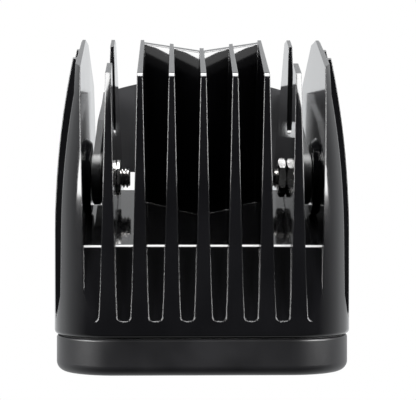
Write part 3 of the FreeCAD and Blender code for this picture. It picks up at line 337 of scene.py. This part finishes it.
def thread_insert():
    """Flanged insert round the left bolt; its bore is drawn plain."""
    rings = [circle(-29.2, 3.1), circle(-29.2, 4.15), circle(-25.0, 4.15), circle(-25.0, 5.0),
             circle(-24.8, 5.3), circle(-24.2, 5.3)]
    rings += [circle(*point) for point in arc((-24.2, 5.0), 0.3, 0, 90, 4)]
    rings += [circle(-23.9, 3.7), circle(-24.3, 3.1), circle(-29.2, 3.1)]
    piece = turned("insert_flange", rings, (0, PIVOT.y, PIVOT.z), (1, 0, 0), "steel_zinc", segments=64,
                   closed=(False, False))
    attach(piece, "lamp")
    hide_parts("thread_insert_left")


# ---- cable gland and vent ------------------------------------------------------------------------

def fluted(along, radius, depth):
    """A ring with eighteen grip flutes."""
    return lambda angle: (along, radius - depth * max(0.0, cos(18 * angle)) ** 2)


def gland_cap():
    """Dome nut: hexagon skirt with chamfers, grip flutes and a rounded nose."""
    flats, low = 16.0, 57.6
    skirt = low + 7.0
    rings = [circle(low + 0.5, 6.3), circle(low, 6.7), circle(low, 7.75), circle(low + 0.02, 7.8)]
    rings += [hex_chamfer(low + 0.02, flats, 7.8, 1.0), hex_chamfer(skirt, flats, 7.8, -1.0)]
    rings += [circle(skirt, 7.75), circle(skirt + 0.15, 7.35), circle(skirt + 0.5, 7.35)]
    rings += [circle(skirt + 0.65, 7.75)]
    rings += [circle(skirt + 0.75, 7.8), fluted(skirt + 1.0, 7.8, 0.35),
              fluted(skirt + 2.2, 7.75, 0.45), fluted(skirt + 2.6, 7.7, 0.2)]
    for step in range(11):
        angle = radians(8 + 66 * step / 10)
        rings.append(circle(skirt + 2.6 + 3.6 * sin(angle), 4.4 + 3.25 * cos(angle)))
    rings += [circle(71.05, 4.9), circle(71.1, 4.6), circle(71.0, 4.0), circle(70.5, 3.65), circle(69.2, 3.6),
              circle(69.1, 4.95), circle(low + 2, 5.0), circle(low + 1, 6.3), circle(low + 0.5, 6.3)]
    piece = turned("gland_dome_nut", rings, GLAND, (0, 0, 1), "gland_nylon", segments=144,
                   closed=(False, False), smooth=28)
    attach(piece, "lamp")
    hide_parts("gland_cap")


def vent():
    """Breather plug: notched rim, dished top and a stem."""
    def notched(along, radius, depth):
        return lambda angle: (along, radius - depth * (1.0 if (angle * 6 / (2 * pi)) % 1 < 0.22 else 0.0))
    rings = [circle(44, 1.9), circle(51, 1.9), notched(51, 3.0, 0.55), notched(51.2, 3.2, 0.7),
             notched(52.2, 3.2, 0.7), notched(52.5, 3.15, 0.6), circle(52.8, 2.95), circle(53.2, 2.6),
             circle(53.4, 2.1), circle(53.38, 1.7), circle(53.1, 1.45), circle(53.1, 0.1)]
    piece = turned("vent_plug", rings, VENT, (0, 0, 1), "vent_plastic", segments=96, smooth=30)
    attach(piece, "lamp")
    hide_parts("pressure_vent")


# ---- light engine --------------------------------------------------------------------------------

def cell_edge(angle, centre, half, corner):
    """Distance from a cup's axis to its quarter of the reflector's outline, whose outer corner is round."""
    dx, dy = cos(angle), sin(angle)
    reach = []
    for d in (dx, dy):
        if abs(d) > 1e-9:
            reach.append((half - centre if d > 0 else -centre) / d)
    distance = min(reach)
    x, y = centre + dx * distance, centre + dy * distance
    bend = half - corner
    if x > bend and y > bend:
        ox, oy = centre - bend, centre - bend
        b = ox * dx + oy * dy
        distance = -b + sqrt(b * b - (ox * ox + oy * oy - corner * corner))
    return distance


def reflector():
    """Metallised block with four parabolic cups, rounded cup lips and side walls."""
    half, corner, centre, front, back = 32.9, 14.9, LED_OFFSET, 6.2, 17.1
    base, rim = 4.2, 15.3
    steps, cup_steps = 96, 16
    shape = bmesh.new()
    for sx, sy in QUARTERS:
        profile = []
        for step in range(cup_steps + 1):
            radius = base + (rim - base) * step / cup_steps
            rise = (radius ** 2 - base ** 2) / (rim ** 2 - base ** 2)
            profile.append((radius, back - 0.3 - (back - front - 0.3) * rise))
        profile += [(rim + 0.08, front + 0.1), (rim + 0.25, front)]
        loops = []
        for radius, z in profile + [(None, front), (None, back - 0.1)]:
            loop = []
            for step in range(steps):
                angle = 2 * pi * step / steps
                r = radius if radius else cell_edge(angle, centre, half, corner)
                x, y = centre + r * cos(angle), centre + r * sin(angle)
                loop.append(shape.verts.new(Vector((sx * x, sy * y + LAMP_AXIS_Y, z)) * MM))
            loops.append(loop)
        for low, high in zip(loops, loops[1:]):
            for step in range(steps):
                following = (step + 1) % steps
                shape.faces.new((low[step], low[following], high[following], high[step]))
    bmesh.ops.remove_doubles(shape, verts=shape.verts, dist=1e-7)
    bmesh.ops.recalc_face_normals(shape, faces=shape.faces)
    piece = finished(shape, "reflector_cups", "reflector_chrome", smooth=30)
    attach(piece, "lamp")
    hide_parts("reflector")


def rounded_slab(name, centre, half, low, high, corner, material, edge=0.12):
    """Small square slab with rounded corners and softened edges."""
    shape = bmesh.new()
    loops = []
    for z, inset in ((low, edge), (low + edge, 0.0), (high - edge, 0.0), (high, edge)):
        loop = []
        for quarter, (sx, sy) in enumerate(QUARTERS):
            for step in range(5):
                angle = radians(90 * quarter + 90 * step / 4)
                x = centre[0] + sx * (half - corner) + (corner - inset) * cos(angle)
                y = centre[1] + sy * (half - corner) + (corner - inset) * sin(angle)
                loop.append(shape.verts.new(Vector((x, y, z)) * MM))
        loops.append(loop)
    count = len(loops[0])
    for low_loop, high_loop in zip(loops, loops[1:]):
        for step in range(count):
            following = (step + 1) % count
            shape.faces.new((low_loop[step], low_loop[following], high_loop[following], high_loop[step]))
    shape.faces.new(loops[0])
    shape.faces.new(loops[-1])
    bmesh.ops.recalc_face_normals(shape, faces=shape.faces)
    return finished(shape, name, material)


def emitters():
    """Each LED: pale ceramic package, phosphor square and a clear dome."""
    dome_radius = 2.1
    for number, (sx, sy) in enumerate(QUARTERS, start=1):
        centre = (sx * LED_OFFSET, sy * LED_OFFSET + LAMP_AXIS_Y)
        package = rounded_slab(f"led_package_{number}", centre, 2.5, LED_SEAT, 17.4, 0.35, "board_white")
        die = rounded_slab(f"led_die_{number}", centre, 1.25, LED_SEAT - 0.12, LED_SEAT, 0.1, "led_phosphor",
                           edge=0.03)
        rings = [circle(-0.02, dome_radius)]
        for angle in range(6, 90, 6):
            rings.append(circle(-dome_radius * sin(radians(angle)), dome_radius * cos(radians(angle))))
        dome = turned(f"led_dome_{number}", rings, (centre[0] * MM, centre[1] * MM, LED_SEAT * MM), (0, 0, 1),
                      "lens_glass", segments=40)
        for piece, slot in ((package, "board_white"), (die, "led_phosphor"), (dome, "lens_glass")):
            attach(piece, "lamp")
        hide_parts("led_emitters")


# ---- softened edges of the housing ----------------------------------------------------------------

def soften_housing():
    """Narrow bevel. It takes hold on only a few of this mesh's edges; gloss_paint shades the rest round."""
    bevel = frame["nodes"]["housing"].modifiers.new("soft_edges", "BEVEL")
    bevel.width = 0.4 * MM
    bevel.segments = 3
    bevel.limit_method = "ANGLE"
    bevel.angle_limit = radians(32)


soften_housing()
pivot_bolt("bolt_left", "pivot_bolt_left", -1)
pivot_bolt("bolt_right", "pivot_bolt_right", 1)
nut()
thread_insert()
gland_cap()
vent()
reflector()
emitters()


# ---- studio ----------------------------------------------------------------------------------------

def emission(name, strength):
    """White glow for the floor and the softboxes."""
    material = bpy.data.materials.new(name)
    material.use_nodes = True
    nodes = material.node_tree.nodes
    nodes.clear()
    output = nodes.new("ShaderNodeOutputMaterial")
    light = nodes.new("ShaderNodeEmission")
    light.inputs["Color"].default_value = (1.0, 1.0, 1.0, 1.0)
    light.inputs["Strength"].default_value = strength
    material.node_tree.links.new(light.outputs["Emission"], output.inputs["Surface"])
    return material


def panel(name, centre, across, up, material, seen=True):
    """Rectangle given by its centre and two half edges."""
    centre, across, up = Vector(centre), Vector(across), Vector(up)
    mesh = bpy.data.meshes.new(name)
    mesh.from_pydata([centre - across - up, centre + across - up, centre + across + up, centre - across + up],
                     [], [(0, 1, 2, 3)])
    mesh.materials.append(material)
    thing = bpy.data.objects.new(name, mesh)
    bpy.context.scene.collection.objects.link(thing)
    thing.visible_camera = seen
    return thing


def studio():
    """White surroundings that darken towards the front, with one softbox overhead and one on each side."""
    world = bpy.data.worlds.new("studio")
    bpy.context.scene.world = world
    world.use_nodes = True
    nodes, links = world.node_tree.nodes, world.node_tree.links
    nodes.clear()
    output = nodes.new("ShaderNodeOutputWorld")
    seen, lit = nodes.new("ShaderNodeBackground"), nodes.new("ShaderNodeBackground")
    seen.inputs["Color"].default_value = (1, 1, 1, 1)
    seen.inputs["Strength"].default_value = 1.0
    lit.inputs["Color"].default_value = (0.97, 0.985, 1.0, 1)
    heading, split = nodes.new("ShaderNodeTexCoord"), nodes.new("ShaderNodeSeparateXYZ")
    links.new(heading.outputs["Generated"], split.inputs["Vector"])
    links.new(ramp(nodes, links, split.outputs["Y"], 0.05, 0.9, -0.55, 0.35), lit.inputs["Strength"])
    path, mix = nodes.new("ShaderNodeLightPath"), nodes.new("ShaderNodeMixShader")
    links.new(path.outputs["Is Camera Ray"], mix.inputs["Fac"])
    links.new(lit.outputs["Background"], mix.inputs[1])
    links.new(seen.outputs["Background"], mix.inputs[2])
    links.new(mix.outputs["Shader"], output.inputs["Surface"])

    floor = panel("floor", (0, 0, -0.0002), (6, 0, 0), (0, 6, 0), emission("floor_white", 1.0))
    floor.visible_diffuse = False
    floor.visible_glossy = False

    panel("overhead", (0, -0.02, 0.7), (0.34, 0, 0), (0, 0.26, 0), emission("overhead_glow", 15.0),
          seen=False)
    for side, sign in (("left", -1), ("right", 1)):
        panel(f"front_box_{side}", (sign * 0.435, -0.29, 0.29), (0.096, sign * 0.146, 0.0), (0, 0, 0.22),
              emission("front_glow", 18.0), seen=False)


def camera():
    """Long lens level with the lamp's middle, looking at its top side from a little left of centre."""
    data = bpy.data.cameras.new("camera")
    data.sensor_width = 36.0
    data.lens = 121.15
    data.clip_start, data.clip_end = 0.01, 50.0
    thing = bpy.data.objects.new("camera", data)
    bpy.context.scene.collection.objects.link(thing)
    thing.location = (-0.0087, -0.4314, 0.0488)
    yaw = radians(1.47)
    thing.rotation_mode = "QUATERNION"
    thing.rotation_quaternion = Vector((sin(yaw), cos(yaw), 0)).to_track_quat("-Z", "Y")
    bpy.context.scene.camera = thing


studio()
camera()
bpy.context.scene.view_settings.view_transform = "Standard"
